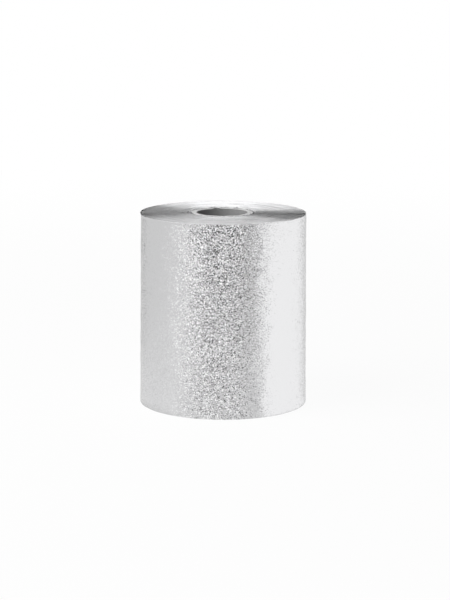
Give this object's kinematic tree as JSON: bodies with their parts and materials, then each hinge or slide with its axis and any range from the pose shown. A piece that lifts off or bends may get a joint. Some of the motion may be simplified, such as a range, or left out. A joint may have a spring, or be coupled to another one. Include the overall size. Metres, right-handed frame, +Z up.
{
  "type": "foil roll",
  "caption": "Wide roll of embossed silver aluminium foil on a spiral-wound paperboard core, standing on end, with a free end that lifts.",
  "frame": {"origin": "the point where the core's axis meets the surface that the roll stands on", "axes": "+Z up along the core's axis; -Y is the front; the free end of the foil lies round the back, at +Y"},
  "size_m": [0.1038, 0.1041, 0.12],
  "materials": {
    "core_paperboard": "matt, uncoated pale grey board",
    "adhesive_strip": "matt tissue with adhesive on both sides",
    "embossed_foil": "bright silver, fine irregular pebble embossing"
  },
  "bodies": {
    "roll": {"core_inner_ply": "core_paperboard", "core_middle_ply_1": "core_paperboard", "core_middle_ply_2": "core_paperboard", "core_middle_ply_3": "core_paperboard", "core_middle_ply_4": "core_paperboard", "core_middle_ply_5": "core_paperboard", "core_middle_ply_6": "core_paperboard", "core_outer_ply": "core_paperboard", "core_start_tape": "adhesive_strip", "foil_lead_turn": "embossed_foil", "foil_pack": "embossed_foil", "foil_outer_turn": "embossed_foil"},
    "tail": {"foil_tail": "embossed_foil"}
  },
  "joints": [
    {"name": "tail_lift", "type": "hinge", "parent": "roll", "child": "tail", "pos_m": [0.00448, 0.05183, 0.06], "axis": [0, 0, -1], "range_deg": [0, 75]}
  ]
}
